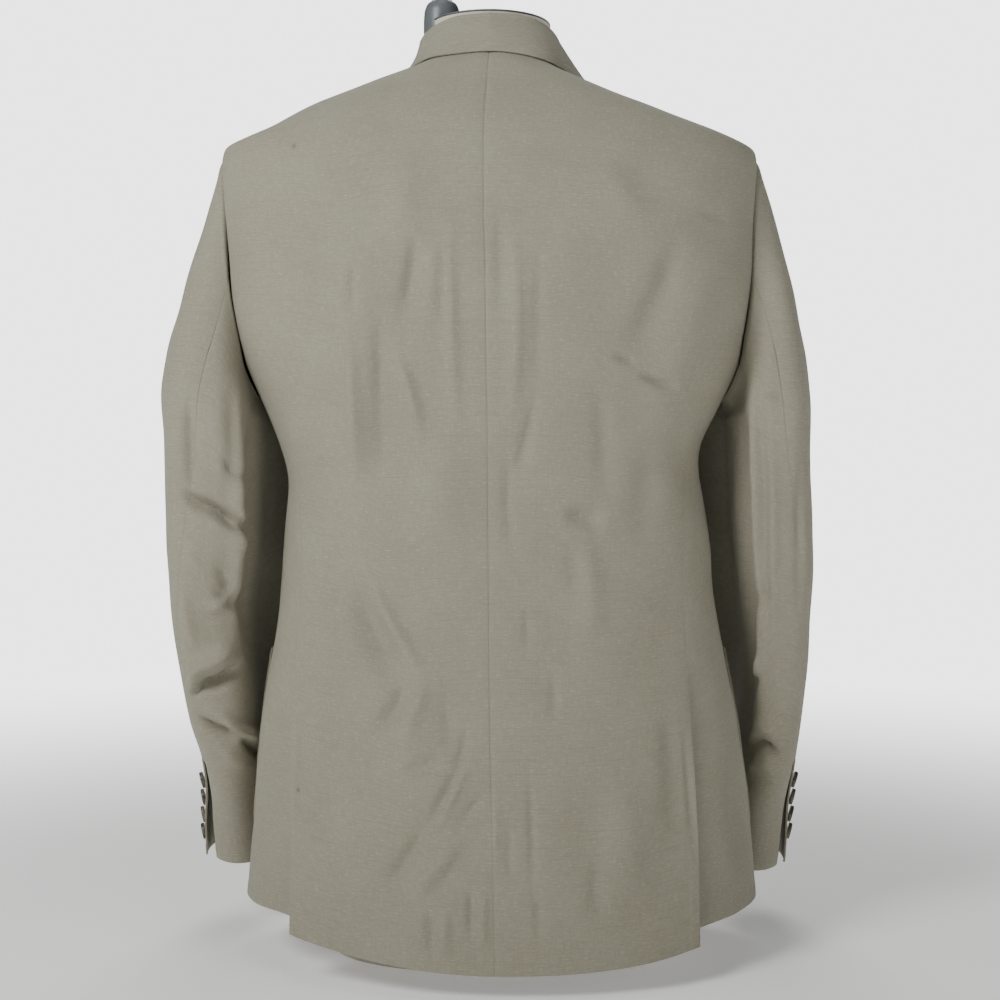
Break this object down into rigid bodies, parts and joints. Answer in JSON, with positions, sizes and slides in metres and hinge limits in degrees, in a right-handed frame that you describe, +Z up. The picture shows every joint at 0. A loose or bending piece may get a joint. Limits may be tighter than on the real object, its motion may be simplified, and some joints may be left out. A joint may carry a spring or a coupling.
{
  "type": "sport coat on dress form",
  "caption": "Single-breasted plain-weave sport coat with notched lapels, patch pockets, side vents and two-piece sleeves, standing on a limbless counter-top dress form.",
  "frame": {"origin": "centre of the dress form's flat base", "axes": "+Z up; the coat's front faces -Y and its back +Y; +X is the wearer's left"},
  "size_m": [0.5727, 0.3043, 0.859],
  "materials": {
    "coat_cloth": "matte plain-weave linen blend with fine slubs",
    "buttons": "satin, horn-like",
    "form_cover": "matte cream cover",
    "form_metal": "satin grey"
  },
  "bodies": {
    "root": {"back_left": "coat_cloth", "back_right": "coat_cloth", "side_left": "coat_cloth", "side_right": "coat_cloth", "front_left": "coat_cloth", "front_right": "coat_cloth", "lapel_left": "coat_cloth", "lapel_right": "coat_cloth", "collar": "coat_cloth", "top_sleeve_left": "coat_cloth", "top_sleeve_right": "coat_cloth", "under_sleeve_left": "coat_cloth", "under_sleeve_right": "coat_cloth", "pocket_left": "coat_cloth", "pocket_right": "coat_cloth", "front_button_1": "buttons", "front_button_2": "buttons", "cuff_button_left_1": "buttons", "cuff_button_left_2": "buttons", "cuff_button_left_3": "buttons", "cuff_button_left_4": "buttons", "cuff_button_right_1": "buttons", "cuff_button_right_2": "buttons", "cuff_button_right_3": "buttons", "cuff_button_right_4": "buttons", "form_torso": "form_cover", "form_cap": "form_metal", "form_post": "form_metal"}
  },
  "joints": []
}
